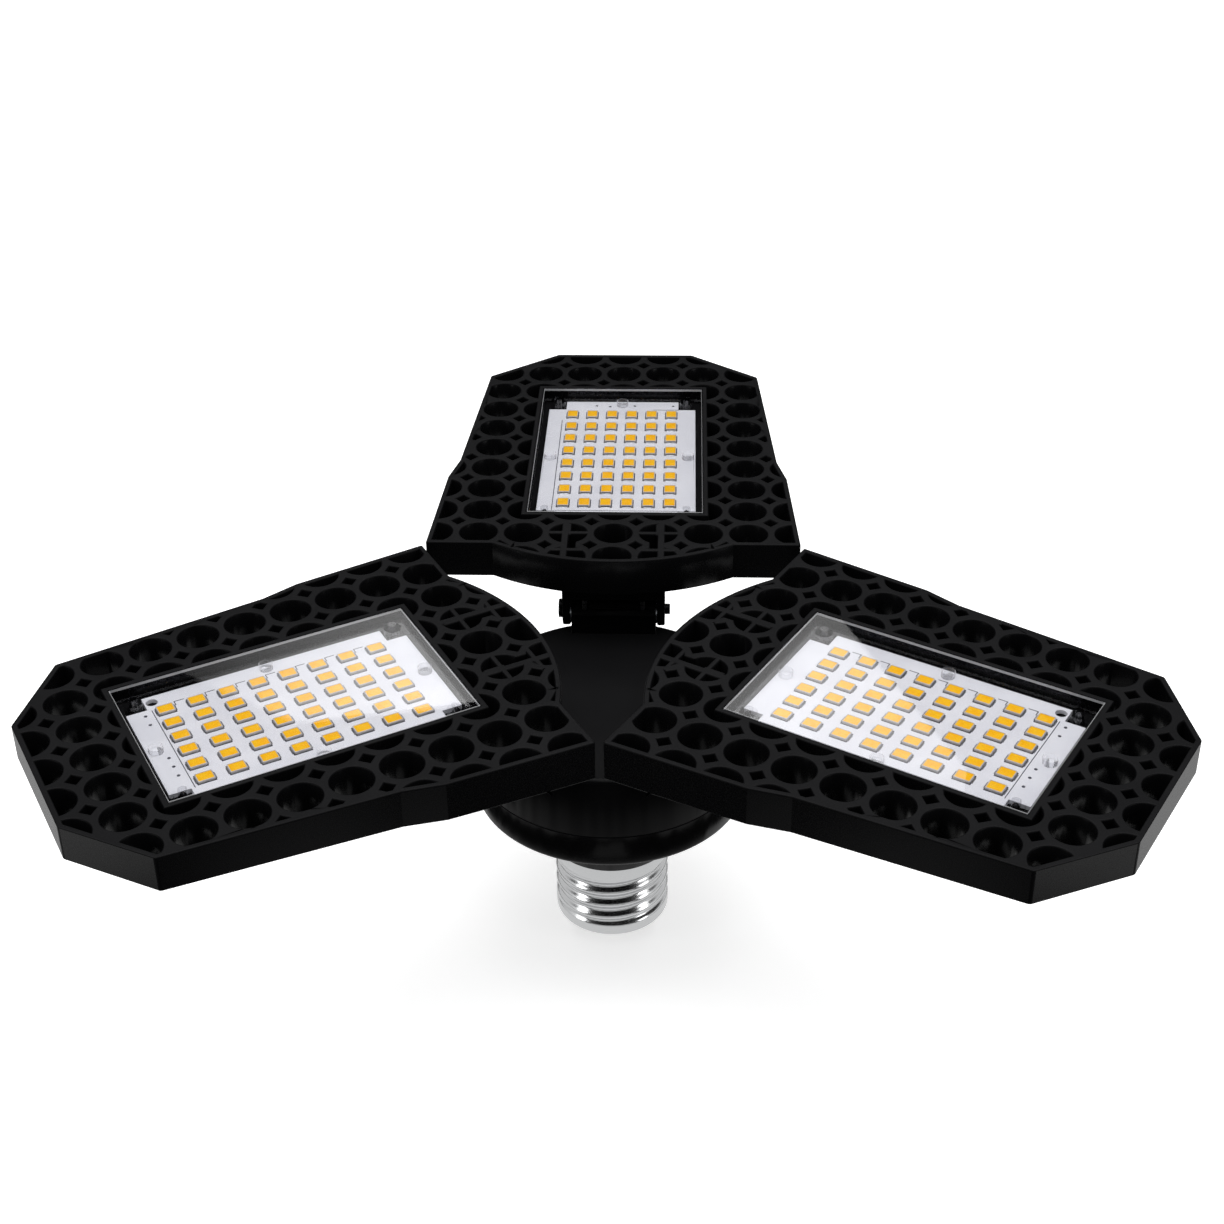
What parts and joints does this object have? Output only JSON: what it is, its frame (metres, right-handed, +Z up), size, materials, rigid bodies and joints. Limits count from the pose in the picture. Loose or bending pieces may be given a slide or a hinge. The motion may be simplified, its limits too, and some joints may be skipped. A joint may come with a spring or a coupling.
{
  "type": "deformable garage light",
  "caption": "Screw-base lamp with honeycomb light panels that fold on friction hinges round a round hub.",
  "frame": {"origin": "tip of the centre contact, on the axis of the screw base", "axes": "+Z up along the screw base towards the hub, +Y towards the rear panel, +X to the right of a viewer who faces +Y"},
  "size_m": [0.2342, 0.2111, 0.089],
  "materials": {
    "base_nickel": "nickel-plated brass sheet, bright",
    "contact_tin": "tinned solder, satin",
    "insulator": "black vitreous insulator, gloss",
    "housing_black": "black moulded plastic, fine satin texture",
    "panel_black": "black moulded plastic, satin",
    "cover_clear": "clear polished plastic",
    "board_white": "white solder mask on aluminium",
    "package_white": "moulded white package",
    "phosphor": "yellow phosphor silicone",
    "steel": "zinc-plated steel",
    "driver_green": "glass-epoxy board, green mask",
    "capacitor_sleeve": "shrink sleeve",
    "transformer_tape": "ferrite core with yellow tape",
    "component_black": "moulded epoxy",
    "component_brown": "dipped epoxy",
    "lead_red": "PVC insulation",
    "lead_black": "PVC insulation"
  },
  "bodies": {
    "root": {"centre_contact": "contact_tin", "base_insulator": "insulator", "screw_shell": "base_nickel", "driver_housing": "housing_black", "hub_body": "housing_black", "housing_screws": "steel", "driver_board": "driver_green", "driver_board_screws": "steel", "smoothing_capacitor": "capacitor_sleeve", "transformer": "transformer_tape", "bridge_rectifier": "component_black", "fuse": "component_brown", "film_capacitor": "component_brown", "base_leads": "lead_red", "hub_leads": "lead_black"},
    "rear_panel": {"rear_panel_frame": "panel_black", "rear_light_board": "board_white", "rear_led_packages": "package_white", "rear_led_phosphor": "phosphor", "rear_clear_cover": "cover_clear", "rear_cover_screws": "steel", "rear_hinge_bolt": "steel", "rear_hinge_washers": "steel", "rear_panel_leads": "lead_black"},
    "left_panel": {"left_panel_frame": "panel_black", "left_light_board": "board_white", "left_led_packages": "package_white", "left_led_phosphor": "phosphor", "left_clear_cover": "cover_clear", "left_cover_screws": "steel", "left_hinge_bolt": "steel", "left_hinge_washers": "steel", "left_panel_leads": "lead_black"},
    "right_panel": {"right_panel_frame": "panel_black", "right_light_board": "board_white", "right_led_packages": "package_white", "right_led_phosphor": "phosphor", "right_clear_cover": "cover_clear", "right_cover_screws": "steel", "right_hinge_bolt": "steel", "right_hinge_washers": "steel", "right_panel_leads": "lead_black"}
  },
  "joints": [
    {"name": "rear_panel_fold", "type": "hinge", "parent": "root", "child": "rear_panel", "pos_m": [0, 0.0296, 0.0688], "axis": [-1, 0, 0], "range_deg": [0, 90]},
    {"name": "left_panel_fold", "type": "hinge", "parent": "root", "child": "left_panel", "pos_m": [-0.02563, -0.0148, 0.0688], "axis": [0.5, -0.866, 0], "range_deg": [0, 90]},
    {"name": "right_panel_fold", "type": "hinge", "parent": "root", "child": "right_panel", "pos_m": [0.02563, -0.0148, 0.0688], "axis": [0.5, 0.866, 0], "range_deg": [0, 90]}
  ]
}
